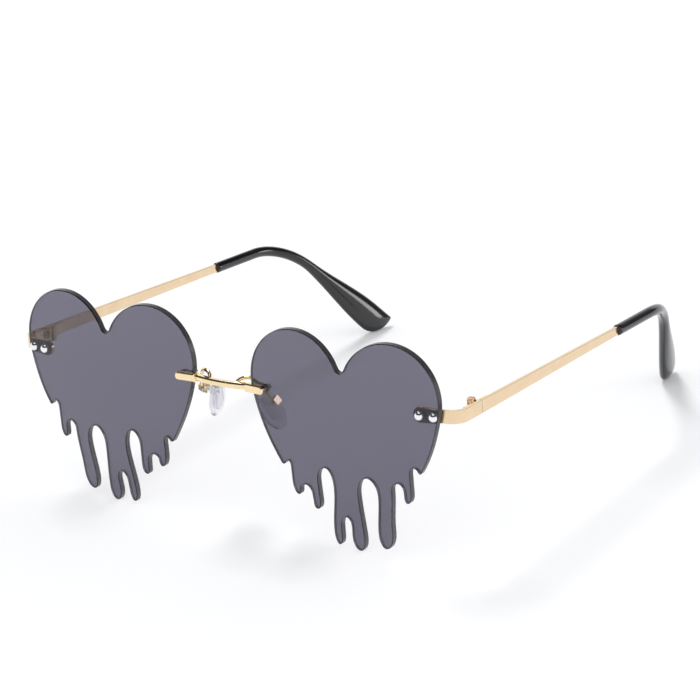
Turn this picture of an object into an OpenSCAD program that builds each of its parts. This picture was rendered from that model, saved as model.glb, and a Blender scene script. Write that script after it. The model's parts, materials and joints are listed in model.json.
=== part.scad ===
// Rimless heart shaped sunglasses whose lenses run down in drips.
// Millimetres. +Z is up, the lenses face -Y and the temples run towards +Y.
// The two sides mirror each other about the plane X = 0, and left is the wearer's left, at +X.

/* [Lenses] */
// Width of one lens
lens_w = 60; // [50:0.5:66]
// Height of one lens, from its lowest drip to its top
lens_h = 60; // [54:0.5:68]
// Thickness of the lens sheet
lens_t = 1.9; // [1.6:0.1:2.4]
// Gap between the two lenses
lens_gap = 19.4; // [17:0.2:24]
// Radius of the lens's front curve
lens_curve_r = 300; // [200:10:600]
// Radius of the round bottom of the cleft
cleft_r = 1.4; // [0.8:0.1:2.5]

/* [Bridge] */
// Height of the bridge's plates, which lie on the lens fronts
bridge_plate_h = 2.4; // [2.2:0.1:3]
// Distance from the lens's inner edge to the nearer bridge pin
bridge_pin_edge = 1.7; // [1.6:0.1:2.2]
// Distance between the two pins of a bridge plate
bridge_pin_pitch = 2.5; // [2.4:0.1:3]
// Thickness of the bridge plates
bridge_plate_t = 1.6; // [1.2:0.1:1.9]
// Height of the bridge bar
bridge_bar_h = 1.7; // [1.4:0.1:2.4]
// Depth of the bridge bar, front to back
bridge_bar_d = 2; // [1.9:0.1:2.6]
// How far the middle of the bar bows forward of its ends
bridge_bow = 1.2; // [0.4:0.1:1.3]

/* [End pieces] */
// Height of the end piece's strip and of the temple at the hinge
strip_h = 3.6; // [3:0.1:4.4]
// Thickness of the end piece's strip
strip_t = 1; // [0.8:0.1:1.2]
// Height of the end piece's plate behind the lens
end_plate_h = 4.3; // [3.8:0.1:5]
// Inner radius of the bend round the lens edge
bend_r = 3.4; // [2.6:0.1:4.4]
// Straight length from the bend to the hinge's axis
strip_run = 6.3; // [6:0.1:10]

/* [Hinges] */
// Diameter of the hinge barrel
barrel_d = 2.6; // [2.2:0.1:3]
// Height of the hinge barrel
barrel_h = 3.9; // [3.6:0.1:5]
// Diameter of the hinge screw's shank
hinge_screw_d = 1.4; // [1:0.1:1.5]

/* [Temples] */
// Length of the metal bar, from the hinge's axis to the mouth of the black tip
bar_l = 74.2; // [60:0.2:86]
// Height of the bar where it enters the tip
bar_end_h = 2.3; // [2:0.1:3]
// Thickness of the bar
bar_t = 1; // [0.8:0.1:1.2]
// Angle at which the temples close towards each other
toe_in = 2.3; // [0:0.1:5]

/* [Temple tips] */
// Diameter of the tip where the bar enters it
tip_d = 3.1; // [2.8:0.1:3.8]
// Straight length of the tip before its bend
tip_straight = 18; // [10:0.5:24]
// Length over which the tip bends
tip_bend_l = 24; // [16:0.5:28]
// Angle by which the tip turns down
tip_down = 48; // [40:1:56]
// Angle by which the tip turns in towards the head
tip_in = 18; // [8:1:24]
// Width of the flat end of the tip
paddle_w = 9.3; // [7:0.1:11]
// Thickness of the flat end of the tip
paddle_t = 3.8; // [2.6:0.1:4.6]

/* [Nose pads] */
// Length of a nose pad
pad_l = 14; // [12:0.1:15]
// Width of a nose pad
pad_w = 7.4; // [6.6:0.1:9]
// Thickness of a nose pad
pad_t = 2.8; // [2.4:0.1:3.4]
// Diameter of the pad arm's wire
arm_d = 1.1; // [0.9:0.05:1.3]

/* [Hidden] */

// Colours
tint = [0.33, 0.33, 0.38];
gold = [0.90, 0.76, 0.52];
silver = [0.82, 0.82, 0.84];
clear_plastic = [0.90, 0.92, 0.94];
black_plastic = [0.06, 0.06, 0.07];

// Smoothness of round work, and of the wide lens curve
$fn = 48;
curve_fn = 360;
// How far a cut runs past what it cuts
overrun = 1;
// Small gaps: between seated faces, between faces that move, and round a turning pin
seat_gap = 0.05;
moving_gap = 0.08;
pin_gap = 0.05;

// Lens outline
// Each lobe is a circle of a quarter of the lens's width
lobe_r = lens_w / 4;
lobe_z = lens_h - lobe_r;
lens_in_x = lens_gap / 2;
lens_mid_x = lens_in_x + lens_w / 2;
// Height of the cleft's circle above the lobes' middles
cleft_rise = sqrt(cleft_r * cleft_r + 2 * lobe_r * cleft_r);
cleft_turn = atan2(cleft_rise, lobe_r);
// How far round each lobe goes past its side before the long flank begins
flank_turn = 11;
// Places on the edge, from the outer barb to the inner barb, and the way the edge heads there:
// share of the width from the inner edge, share of the height, heading in degrees.
// 180 lies over a gap's top or under a drip's tip, 270 runs down a drip and 90 runs up it.
drip_shares = [
    [0.897, 0.431, 238], [0.887, 0.424, 180], [0.880, 0.431, 118], [0.857, 0.449, 180],
    [0.839, 0.417, 270], [0.8385, 0.321, 270], [0.8135, 0.2745, 180], [0.7995, 0.303, 90],
    [0.799, 0.326, 90], [0.7725, 0.3635, 180], [0.7415, 0.329, 270], [0.7235, 0.122, 270],
    [0.677, 0.032, 180], [0.6455, 0.096, 90], [0.6640, 0.285, 90], [0.612, 0.365, 180],
    [0.5615, 0.280, 270], [0.571, 0.067, 270], [0.538, 0, 180], [0.5025, 0.0605, 90],
    [0.5055, 0.116, 90], [0.4825, 0.157, 180], [0.452, 0.101, 270], [0.4495, 0.0635, 270],
    [0.427, 0.012, 180], [0.406, 0.070, 90], [0.4305, 0.2915, 90], [0.391, 0.3795, 180],
    [0.348, 0.313, 270], [0.3505, 0.210, 270], [0.327, 0.170, 180], [0.3095, 0.197, 90],
    [0.307, 0.233, 90], [0.274, 0.2785, 180], [0.2455, 0.254, 270], [0.229, 0.2240, 180],
    [0.1995, 0.2915, 90], [0.199, 0.3535, 90], [0.1875, 0.3795, 180], [0.169, 0.366, 235],
    [0.157, 0.359, 180], [0.1475, 0.365, 123]
];
// Points drawn along each stretch of the edge, round a lobe and round the cleft
stretch_steps = 5;
lobe_steps = 24;
cleft_steps = 6;
// Middles of the two lobes' circles, as [x, z]
outer_lobe = [lens_mid_x + lobe_r, lobe_z];
inner_lobe = [lens_mid_x - lobe_r, lobe_z];
// Depth of the block that the lens is cut from, more than its curve's own depth
lens_reach = 20;

// Lens curve: its highest point lies here, so that the lens leans and wraps a little
crown_x = lens_in_x + 0.397 * lens_w;
crown_z = 0.39 * lens_h;

// Seats on the lenses
seat_down = 18.2;
seat_z = lens_h - seat_down;
bridge_up = 0.1;
bridge_z = seat_z + bridge_up;
drop = asin((seat_z - crown_z) / lens_curve_r);

// End rivets
rivet_edge = 1.8;
rivet_pitch = 4.2;
rivet_d = 1.2;
dome_d = 2.5;
dome_h = 0.9;
dome_r = (dome_d * dome_d / 4 + dome_h * dome_h) / (2 * dome_h);
tail_d = 1.8;
tail_h = 0.35;
rivet_bushing_d = 1.7;
end_seat_x = lens_in_x + lens_w - rivet_edge - rivet_pitch / 2;

// End piece
// From the middle of the rivets to the start of the bend
plate_run = 4.9;
// Straight steps that draw the bend in plan
bend_steps = 24;
end_wrap = asin((end_seat_x - crown_x) / lens_curve_r);
end_seat_y = front_y(end_seat_x, seat_z);
bend_out_r = bend_r + strip_t;

// Bridge
bridge_seat_x = lens_in_x + bridge_pin_edge + bridge_pin_pitch / 2;
bridge_wrap = asin((bridge_seat_x - crown_x) / lens_curve_r);
bridge_front_y = front_y(bridge_seat_x, bridge_z) - bridge_plate_t;
bridge_pin_d = 0.9;
bridge_bushing_d = 1.4;
nut_d = 2.2;
nut_h = 1;
pin_tail = 0.3;
washer_t = 0.5;
washer_margin = 0.05;
washer_d = nut_d + 2 * washer_margin;
pin_end = lens_t + seat_gap + washer_t + nut_h + pin_tail;
// The bar stops short of the lens's edge, and the plates run into its end by this much
bar_edge_gap = 0.1;
plate_in_bar = 1;
bar_half = lens_in_x - bar_edge_gap;
bar_chamfer = 0.4;
bow_r = (bar_half * bar_half + bridge_bow * bridge_bow) / (2 * bridge_bow);

// Hinge
// Distance from the strip's inner face to the hinge's axis
barrel_gap = 0.5;
axis_in = barrel_d / 2 + barrel_gap;
leaf_t = 0.9;
leaf_l = 4.2;
leaf_h = 3;
leaf_gap = 0.15;
leaf_start = barrel_d / 2 + leaf_gap;
// The seam between strip and temple lies this far behind the axis
seam_back = 0.8;
seam_gap = 0.15;
middle_knuckle_h = barrel_h / 3;
hinge_head_d = 2.1;
hinge_head_h = 0.4;
hinge_slot_w = 0.35;
hinge_slot_h = 0.25;

// Plan of the end piece, seen along the hinge's axis, measured from the end seat:
// the bend's centre, and the hinge's axis
bend_centre = turned([plate_run, lens_t + seat_gap + strip_t + bend_r], end_wrap);
hinge_plan = bend_centre + turned([bend_out_r - strip_t - axis_in, strip_run], toe_in);

// Temple tip
tip_core_d = 0.9;
tip_core_gap = 0.05;
tip_core_start = 1;
tip_core_share = 0.72;
tip_sides = 14;
tip_step = 2.4;
// The tip turns in over this first share of its bend
tip_in_share = 0.4;
// Share of the tip that flares, and the length and steps of its end, which leans up and back
tip_flare_share = 0.45;
tip_end_l = 7.6;
tip_end_steps = 6;
// How far the tip would run past the bend before its length is fitted to the ground
tip_run_guess = 30;
tip_x = axis_in + bar_t / 2;
bar_start = seam_back + seam_gap / 2;

// Nose pads
// The pad screw's place from the middle of the bridge, then how far the pad leans back and splays out
pad_out = 12.1;
pad_back = 9.1;
pad_below = 6;
pad_lean = 24;
pad_splay = 20;
// The pad's middle hangs below its screw, and lies this far in from it
pad_hang = 2.2;
pad_in = 3.7;
pad_rings = 14;
pad_sides = 20;
// How much narrower the pad's top is than its middle, and how soon its two ends close
pad_taper_share = 0.14;
pad_end_share = 0.5;
// Pad box, with a slot for the pad's lug between two walls, and a wall behind it
box_l = 2.2;
box_w = 2.1;
box_h = 2.2;
box_slot = 1.2;
box_back = 0.5;
lug_w = 1;
lug_d = 1.7;
lug_h = 1.4;
pad_screw_d = 0.8;
pad_head_d = 1.5;
pad_head_h = 0.45;
pad_slot_w = 0.3;
core_t = 0.6;
core_l = 8;
core_w = 3.4;

// Pad arm: where the wire leaves the back of the bar, out from the middle and up,
// then its bends as shares of the way out, back and down to the pad screw
arm_root_x = 4.5;
arm_root_up = 0.3;
arm_shares = [
    [0.42, 0.33, -0.17], [0.52, 0.41, -0.26], [0.64, 0.48, -0.27], [0.76, 0.58, -0.16],
    [0.88, 0.70, 0.12], [0.95, 0.80, 0.42], [1.01, 0.90, 0.70], [1.03, 0.97, 0.90]
];
arm_steps = 4;
arm_sides = 10;

// Turn a plan point about the origin
function turned(p, a) = [p[0] * cos(a) - p[1] * sin(a), p[0] * sin(a) + p[1] * cos(a)];

// Depth of the lens's front face at a place on it
function front_y(x, z) = lens_curve_r
    - sqrt(pow(lens_curve_r, 2) - pow(x - crown_x, 2) - pow(z - crown_z, 2));

// Length of a curve's handle for a turn, so that the stretch is close to an arc of an ellipse
function handle_share(turn) = turn < 1 ? 1 / 3 : 4 / 3 * tan(turn / 4) / sin(turn);

function heading(a) = [cos(a), sin(a)];

// Smallest angle between two headings
function between(a, b) = let (d = abs(a - b) % 360) min(d, 360 - d);

// Points along one stretch between two places [x, z, heading], without the last one
function stretch(a, b) =
    let (
        p = [a[0], a[1]],
        q = [b[0], b[1]],
        share = handle_share(between(a[2], b[2])),
        u = p + heading(a[2]) * abs((q - p) * heading(a[2])) * share,
        v = q - heading(b[2]) * abs((q - p) * heading(b[2])) * share
    )
    [for (k = [0 : stretch_steps - 1]) let (t = k / stretch_steps, s = 1 - t)
        s * s * s * p + 3 * s * s * t * u + 3 * s * t * t * v + t * t * t * q];

// Points along an arc from one angle to another, without the last one
function arc(centre, r, from, to, steps) =
    [for (k = [0 : steps - 1]) centre + r * heading(from + (to - from) * k / steps)];

// Outline of the +X lens: the outer lobe, its flank, the drips, the inner flank and the inner lobe
function on_lobe(c, a) = c + lobe_r * heading(a);
function drip_places() = [for (d = drip_shares) [lens_in_x + d[0] * lens_w, d[1] * lens_h, d[2]]];
function outer_flank() = let (p = on_lobe(outer_lobe, -flank_turn)) [p[0], p[1], 270 - flank_turn];
function inner_flank() = let (p = on_lobe(inner_lobe, 180 + flank_turn)) [p[0], p[1], 90 + flank_turn];
function lens_points() =
    let (
        places = concat([outer_flank()], drip_places(), [inner_flank()]),
        cleft_c = [lens_mid_x, lobe_z + cleft_rise]
    )
    concat(
        arc(cleft_c, cleft_r, 180 + cleft_turn, 360 - cleft_turn, cleft_steps),
        arc(outer_lobe, lobe_r, 180 - cleft_turn, -flank_turn, lobe_steps),
        [for (k = [0 : len(places) - 2]) each stretch(places[k], places[k + 1])],
        arc(inner_lobe, lobe_r, 180 + flank_turn, cleft_turn, lobe_steps)
    );

// Work at the outer end of the +X lens: x along the lens, y back through it, z up
module at_end_seat() {
    translate([end_seat_x, end_seat_y, seat_z])
        rotate([-drop, 0, 0])
            rotate([0, 0, end_wrap])
                children();
}

// Work at the bridge plate's middle on the +X lens, with the same directions
module at_bridge_seat() {
    translate([bridge_seat_x, front_y(bridge_seat_x, bridge_z), bridge_z])
        rotate([-drop, 0, 0])
            rotate([0, 0, bridge_wrap])
                children();
}

// Work at the +X hinge: z along its axis, y back along the temple, x outward
module at_hinge() {
    translate([end_seat_x, end_seat_y, seat_z])
        rotate([-drop, 0, 0])
            translate([hinge_plan[0], hinge_plan[1], 0])
                rotate([0, 0, toe_in])
                    children();
}

// Work at the +X pad screw: y along the screw, z up the pad, x away from the nose
module at_pad() {
    translate([pad_out, bridge_front_y + pad_back, bridge_z - pad_below])
        rotate([pad_lean, 0, 0])
            rotate([0, -pad_splay, 0])
                children();
}

// A bar of round section along y, from one depth to another
module along_y(d, from, to) {
    translate([0, from, 0])
        rotate([-90, 0, 0])
            cylinder(d = d, h = to - from);
}

// A flat shape drawn in x and z, made solid from one depth to another
module slab(from, to) {
    translate([0, to, 0])
        rotate([90, 0, 0])
            linear_extrude(height = to - from)
                children();
}

// A strip with round ends, by its whole length and height
module round_strip(l, h) {
    square([l - h, h], center = true);
    for (side = [-1, 1])
        translate([side * (l - h) / 2, 0])
            circle(d = h);
}

// A closed solid through rings of points that all have the same number of points
module skin(rings) {
    n = len(rings[0]);
    m = len(rings);
    polyhedron(
        points = [for (r = rings) each r],
        faces = concat(
            [[for (k = [0 : n - 1]) k]],
            [for (j = [0 : m - 2]) for (k = [0 : n - 1]) let (l = (k + 1) % n) each [
                [j * n + k, (j + 1) * n + k, j * n + l],
                [j * n + l, (j + 1) * n + k, (j + 1) * n + l]
            ]],
            [[for (k = [n - 1 : -1 : 0]) (m - 1) * n + k]]
        )
    );
}

// The four holes of a lens, each with its pin's own direction
module lens_holes() {
    at_end_seat()
        for (side = [-1, 1])
            translate([side * rivet_pitch / 2, 0, 0])
                along_y(rivet_bushing_d, -overrun, lens_t + overrun);
    at_bridge_seat()
        for (side = [-1, 1])
            translate([side * bridge_pin_pitch / 2, 0, 0])
                along_y(bridge_bushing_d, -overrun, lens_t + overrun);
}

module left_lens() {
    color(tint)
        difference() {
            intersection() {
                slab(-overrun, lens_reach)
                    polygon(lens_points());
                translate([crown_x, lens_curve_r, crown_z])
                    difference() {
                        sphere(r = lens_curve_r, $fn = curve_fn);
                        sphere(r = lens_curve_r - lens_t, $fn = curve_fn);
                    }
            }
            lens_holes();
        }
}

module left_lens_bushings() {
    color(clear_plastic) {
        at_end_seat()
            for (side = [-1, 1])
                translate([side * rivet_pitch / 2, 0, 0])
                    sleeve(rivet_bushing_d, rivet_d);
        at_bridge_seat()
            for (side = [-1, 1])
                translate([side * bridge_pin_pitch / 2, 0, 0])
                    sleeve(bridge_bushing_d, bridge_pin_d);
    }
}

// A plastic sleeve in a lens hole
module sleeve(outer_d, inner_d) {
    difference() {
        along_y(outer_d, 0, lens_t);
        along_y(inner_d, -overrun, lens_t + overrun);
    }
}

// Bridge bar's section, with its front at zero and its back at minus its depth
module bar_section() {
    h = bridge_bar_h / 2;
    d = bridge_bar_d;
    c = bar_chamfer;
    polygon([
        [-c, -h], [0, -h + c], [0, h - c], [-c, h],
        [c - d, h], [-d, h - c], [-d, -h + c], [c - d, -h]
    ]);
}

// The bar is an arc in plan, so its middle bows forward of its ends
module bridge_bar() {
    half_turn = asin(bar_half / bow_r);
    at_bridge()
        translate([0, bow_r, 0])
            rotate([0, 0, -90 - half_turn])
                rotate_extrude(angle = 2 * half_turn, $fn = curve_fn)
                    translate([bow_r, 0])
                        bar_section();
}

// A plate ends round over its outer pin, and runs into the bar at its inner end
module bridge_plate_outline() {
    outer = bridge_pin_pitch / 2;
    inner = bar_half - plate_in_bar - bridge_seat_x;
    translate([outer, 0])
        circle(d = bridge_plate_h);
    translate([inner, -bridge_plate_h / 2])
        square([outer - inner, bridge_plate_h]);
}

module bridge_plate() {
    at_bridge_seat() {
        slab(-bridge_plate_t, 0)
            bridge_plate_outline();
        for (side = [-1, 1])
            translate([side * bridge_pin_pitch / 2, 0, 0])
                along_y(bridge_pin_d, -bridge_plate_t / 2, pin_end);
    }
}

module bridge() {
    color(gold) {
        bridge_bar();
        bridge_plate();
        mirror([1, 0, 0])
            bridge_plate();
    }
}

module bridge_washer() {
    at_bridge_seat()
        translate([0, lens_t + seat_gap, 0])
            difference() {
                slab(0, washer_t)
                    round_strip(bridge_pin_pitch + washer_d, washer_d);
                for (side = [-1, 1])
                    translate([side * bridge_pin_pitch / 2, 0, 0])
                        along_y(bridge_pin_d, -overrun, washer_t + overrun);
            }
}

module bridge_washers() {
    color(clear_plastic) {
        bridge_washer();
        mirror([1, 0, 0])
            bridge_washer();
    }
}

module bridge_nut_pair() {
    at_bridge_seat()
        for (side = [-1, 1])
            translate([side * bridge_pin_pitch / 2, lens_t + seat_gap + washer_t, 0])
                difference() {
                    rotate([-90, 0, 0])
                        cylinder(d = nut_d, h = nut_h, $fn = 6);
                    along_y(bridge_pin_d, -overrun, nut_h + overrun);
                }
}

module bridge_nuts() {
    color(silver) {
        bridge_nut_pair();
        mirror([1, 0, 0])
            bridge_nut_pair();
    }
}

// Outline of the end piece's plate: a round inner end, narrowing to the strip's height
module end_plate_outline() {
    inner = -rivet_pitch / 2;
    translate([inner, 0])
        circle(d = end_plate_h);
    polygon([
        [inner, end_plate_h / 2], [inner, -end_plate_h / 2],
        [plate_run, -strip_h / 2], [plate_run, strip_h / 2]
    ]);
}

module left_end_piece() {
    color(gold)
        at_end_seat()
            difference() {
                union() {
                    slab(lens_t + seat_gap, lens_t + seat_gap + strip_t)
                        end_plate_outline();
                    translate([0, 0, -strip_h / 2])
                        linear_extrude(height = strip_h)
                            polygon(strip_plan());
                }
                for (side = [-1, 1])
                    translate([side * rivet_pitch / 2, 0, 0])
                        along_y(rivet_d, lens_t, lens_t + strip_t + overrun);
            }
}

// One side of the strip in plan, from inside the plate, round the bend and along the straight run
function strip_side(r) =
    let (
        centre = [plate_run, lens_t + seat_gap + bend_out_r],
        turn = 90 - end_wrap + toe_in,
        run = strip_run + seam_back - seam_gap / 2
    )
    concat(
        [centre - [strip_t, r]],
        arc(centre, r, -90, turn - 90, bend_steps),
        [centre + r * heading(turn - 90), centre + r * heading(turn - 90) + run * heading(turn)]
    );

function reversed(list) = [for (k = [len(list) - 1 : -1 : 0]) list[k]];

function strip_plan() = concat(strip_side(bend_out_r), reversed(strip_side(bend_r)));

// One rivet: a domed head on the lens's front, a shank, and its closed end behind the plate
module end_rivet() {
    back = lens_t + seat_gap + strip_t;
    intersection() {
        translate([0, dome_r - dome_h, 0])
            sphere(r = dome_r);
        along_y(dome_d + overrun, -dome_h - overrun, 0);
    }
    along_y(rivet_d, -dome_h / 2, back);
    along_y(tail_d, back, back + tail_h);
}

module left_end_rivets() {
    color(silver)
        at_end_seat()
            for (side = [-1, 1])
                translate([side * rivet_pitch / 2, 0, 0])
                    end_rivet();
}

// One knuckle of the barrel with the web that ties it to its leaf, which lies towards -y
module knuckle(from, to) {
    translate([0, 0, from])
        cylinder(d = barrel_d, h = to - from);
    translate([axis_in - leaf_t, -leaf_start, from])
        cube([leaf_t - barrel_gap, leaf_start, to - from]);
}

module leaf() {
    translate([axis_in - leaf_t, -leaf_start - leaf_l, -leaf_h / 2])
        cube([leaf_t, leaf_l, leaf_h]);
}

module left_hinge_front() {
    inner = middle_knuckle_h / 2 + moving_gap;
    color(gold)
        at_hinge()
            difference() {
                union() {
                    leaf();
                    knuckle(inner, barrel_h / 2);
                    knuckle(-barrel_h / 2, -inner);
                }
                translate([0, 0, -barrel_h / 2 - overrun])
                    cylinder(d = hinge_screw_d, h = barrel_h + 2 * overrun);
            }
}

module left_hinge_rear() {
    color(gold)
        at_hinge()
            difference() {
                mirror([0, 1, 0]) {
                    leaf();
                    knuckle(-middle_knuckle_h / 2, middle_knuckle_h / 2);
                }
                translate([0, 0, -barrel_h / 2])
                    cylinder(d = hinge_screw_d + 2 * pin_gap, h = barrel_h);
            }
}

module left_hinge_screw() {
    top = barrel_h / 2;
    color(silver)
        at_hinge() {
            translate([0, 0, -barrel_h / 2])
                cylinder(d = hinge_screw_d, h = barrel_h);
            difference() {
                translate([0, 0, top])
                    cylinder(d = hinge_head_d, h = hinge_head_h);
                translate([-hinge_head_d, -hinge_slot_w / 2, top + hinge_head_h - hinge_slot_h])
                    cube([2 * hinge_head_d, hinge_slot_w, hinge_slot_h + overrun]);
            }
        }
}

// Pitch and inward turn of the tip's centre line at a distance from its mouth
function ramp(s, start, l) = max(0, min(1, (s - start) / l));
function tip_heading(s) =
    let (
        down = tip_down * ramp(s, tip_straight, tip_bend_l),
        in = tip_in * ramp(s, tip_straight, tip_bend_l * tip_in_share)
    )
    [-sin(in), cos(in) * cos(down), -cos(in) * sin(down)];

// Centre line of the tip in the hinge's frame, as [place, heading, distance from the mouth]
function tip_line(l) =
    let (n = ceil(l / tip_step), step = l / n)
    [for (k = 0, p = [tip_x, bar_l, 0]; k <= n; p = p + tip_heading((k + 1 / 2) * step) * step, k = k + 1)
        [p, tip_heading(k * step), k * step]];

// Directions across a heading: sideways, and up
function sideways(head) = let (side = [1, 0, 0] - head[0] * head) side / norm(side);
function across(head) = cross(sideways(head), head);

// One ring about a place: t is its thickness sideways, w its width up and down
function ring(place, head, t, w, sides) =
    [for (k = [0 : sides - 1]) let (a = 360 * k / sides)
        place + sideways(head) * cos(a) * t / 2 - across(head) * sin(a) * w / 2];

// Width and thickness of the tip at a share of its length
function flare(share) = let (s = max(0, (share - 1 + tip_flare_share) / tip_flare_share)) s * s * (3 - 2 * s);
function tip_w(share) = tip_d + (paddle_w - tip_d) * flare(share);
function tip_t(share) = tip_d + (paddle_t - tip_d) * flare(share);

// Rings of the tip's outside: the flaring part, then the rounded end, whose middle moves to the
// tip's upper edge, so that its lower corner is the rounder one
function tip_rings(l) =
    let (line = tip_line(l), last = line[len(line) - 1])
    concat(
        [for (p = line) ring(p[0], p[1], tip_t(p[2] / l), tip_w(p[2] / l), tip_sides)],
        [for (k = [1 : tip_end_steps]) let (a = 90 * k / (tip_end_steps + 1 / 2))
            ring(last[0] + last[1] * tip_end_l * sin(a) + across(last[1]) * paddle_w / 2 * (1 - cos(a)),
                last[1], paddle_t * cos(a), paddle_w * cos(a), tip_sides)]
    );

// Height of a point of the hinge's frame above the ground, and its depth
hinge_z = seat_z - hinge_plan[1] * sin(drop);
hinge_y = end_seat_y + hinge_plan[1] * cos(drop);
function along_temple(p) = p[0] * sin(toe_in) + p[1] * cos(toe_in);
function ground_z(p) = hinge_z - along_temple(p) * sin(drop) + p[2] * cos(drop);
function deep_y(p) = hinge_y + along_temple(p) * cos(drop) + p[2] * sin(drop);

// The tip is as long as it takes for its end to stand on the ground with the lenses
tip_l_guess = tip_straight + tip_bend_l + tip_run_guess;
guess_low = min([for (r = tip_rings(tip_l_guess)) for (p = r) ground_z(p)]);
end_head = tip_heading(tip_l_guess);
end_fall = -(ground_z(end_head) - ground_z([0, 0, 0]));
tip_l = tip_l_guess + guess_low / end_fall;
fitted_rings = tip_rings(tip_l);
back_y = max([for (r = fitted_rings) for (p = r) deep_y(p)]);

// Rings of the core, or of the hole for it, from its start to its end in the tip
function core_rings(d) = [for (p = tip_line(tip_l * tip_core_share)) ring(p[0], p[1], d, d, tip_sides)];

module left_temple() {
    core = core_rings(tip_core_d);
    start = ring([tip_x, bar_l - tip_core_start, 0], [0, 1, 0], tip_core_d, tip_core_d, tip_sides);
    color(gold)
        at_hinge() {
            translate([axis_in, 0, 0])
                rotate([90, 0, 90])
                    linear_extrude(height = bar_t)
                        polygon([
                            [bar_start, -strip_h / 2], [bar_l, -bar_end_h / 2],
                            [bar_l, bar_end_h / 2], [bar_start, strip_h / 2]
                        ]);
            skin(concat([start], core));
        }
}

// The tip is one skin: up the hole for the core, over the mouth and down the outside
module left_temple_tip() {
    hole = core_rings(tip_core_d + 2 * tip_core_gap);
    color(black_plastic)
        at_hinge()
            skin(concat(reversed(hole), fitted_rings));
}

// Work at the bridge's middle, leaning as the lenses do there
module at_bridge() {
    translate([0, bridge_front_y, bridge_z])
        rotate([-drop, 0, 0])
            children();
}

// Wire of the pad arm: it leaves the bar square to its back, which is a cylinder of this radius
bar_back_r = bow_r - bridge_bar_d;
arm_root_turn = asin(arm_root_x / bar_back_r);
function arm_places() = concat(
    [[arm_root_x, bow_r - bar_back_r * cos(arm_root_turn), arm_root_up]],
    [for (a = arm_shares) [a[0] * pad_out, a[1] * pad_back, -a[2] * pad_below]]
);

// A smooth line through places: a point on the stretch that starts at place k, at share t of it
function smooth_at(p, k, t) =
    let (a = p[max(k - 1, 0)], b = p[k], c = p[min(k + 1, len(p) - 1)], d = p[min(k + 2, len(p) - 1)])
    b + t * (c - a) / 2 + t * t * (2 * a - 5 * b + 4 * c - d) / 2 + t * t * t * (3 * b - a - 3 * c + d) / 2;
function smooth_line(p, steps) = concat(
    [for (k = [0 : len(p) - 2]) for (j = [0 : steps - 1]) smooth_at(p, k, j / steps)],
    [p[len(p) - 1]]
);

module left_pad_arm() {
    line = smooth_line(arm_places(), arm_steps);
    n = len(line);
    root_way = [-sin(arm_root_turn), cos(arm_root_turn), 0];
    color(gold)
        difference() {
            at_bridge()
                skin([for (k = [0 : n - 1])
                    let (h = k == 0 ? root_way : line[min(k + 1, n - 1)] - line[k - 1])
                    ring(line[k], h / norm(h), arm_d, arm_d, arm_sides)]);
            at_pad()
                box_block();
        }
}

// The pad box without its slot and bore
module box_block() {
    translate([-box_l / 2, -box_w / 2, -box_h / 2])
        cube([box_l + box_back, box_w, box_h]);
}

module left_pad_box() {
    color(gold)
        at_pad()
            difference() {
                box_block();
                translate([-box_l / 2 - overrun, -box_slot / 2, -box_h / 2 - overrun])
                    cube([box_l + overrun, box_slot, box_h + 2 * overrun]);
                along_y(pad_screw_d, -box_w / 2 - overrun, box_w / 2 + overrun);
            }
}

module left_pad_screw() {
    front = -box_w / 2;
    color(silver)
        at_pad() {
            along_y(pad_screw_d, front, box_w / 2);
            difference() {
                along_y(pad_head_d, front - pad_head_h, front);
                translate([-pad_slot_w / 2, front - pad_head_h - overrun, -pad_head_d])
                    cube([pad_slot_w, pad_head_h / 2 + overrun, 2 * pad_head_d]);
            }
        }
}

// The stiff plate inside the pad, as a flat shape
module core_plate() {
    translate([-pad_in, 0, -pad_hang])
        rotate([0, 90, 0])
            translate([0, 0, -core_t / 2])
                linear_extrude(height = core_t)
                    round_strip(core_l, core_w);
}

module left_pad_core() {
    color(silver)
        at_pad()
            difference() {
                union() {
                    core_plate();
                    along_y(lug_d, -lug_w / 2, lug_w / 2);
                    translate([-pad_in, -lug_w / 2, -lug_h / 2])
                        cube([pad_in, lug_w, lug_h]);
                }
                along_y(pad_screw_d + 2 * pin_gap, -box_w, box_w);
            }
}

// Half width and half thickness of the pad along its length, from its foot at -1 to its top at 1
function pad_half_w(u) = pad_w / 2 * sqrt(1 - u * u) * (1 - pad_taper_share * u);
function pad_half_t(u) = pad_t / 2 * pow(1 - u * u, 0.35);
// Place of a ring of the pad along its length; the rings lie closer at the ends
function pad_place(k) = -cos(180 * (k + pad_end_share) / (pad_rings + 2 * pad_end_share));
function pad_ring(u) = [
    for (j = [0 : pad_sides - 1]) let (a = 360 * j / pad_sides)
        [pad_half_t(u) * cos(a), pad_half_w(u) * sin(a), u * pad_l / 2]
];

module pad_body() {
    translate([-pad_in, 0, -pad_hang])
        skin([for (k = [0 : pad_rings]) pad_ring(pad_place(k))]);
}

module left_nose_pad() {
    color(clear_plastic)
        at_pad()
            difference() {
                pad_body();
                core_plate();
                translate([-pad_in, -lug_w / 2, -lug_h / 2])
                    cube([pad_in, lug_w, lug_h]);
            }
}

// The whole part stands with its origin on the ground, in the middle of its box. Its foremost place
// is the lower outer edge of a bridge plate, or the lenses' crown where the plates are thin
plate_edge_y = bridge_front_y - bridge_plate_h / 2 * sin(drop)
    + (bridge_pin_pitch + bridge_plate_h) / 2 * sin(bridge_wrap);
mid_y = (min(plate_edge_y, 0) + back_y) / 2;
module stood() {
    translate([0, -mid_y, 0])
        children();
}
module mirrored() {
    mirror([1, 0, 0])
        children();
}

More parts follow.
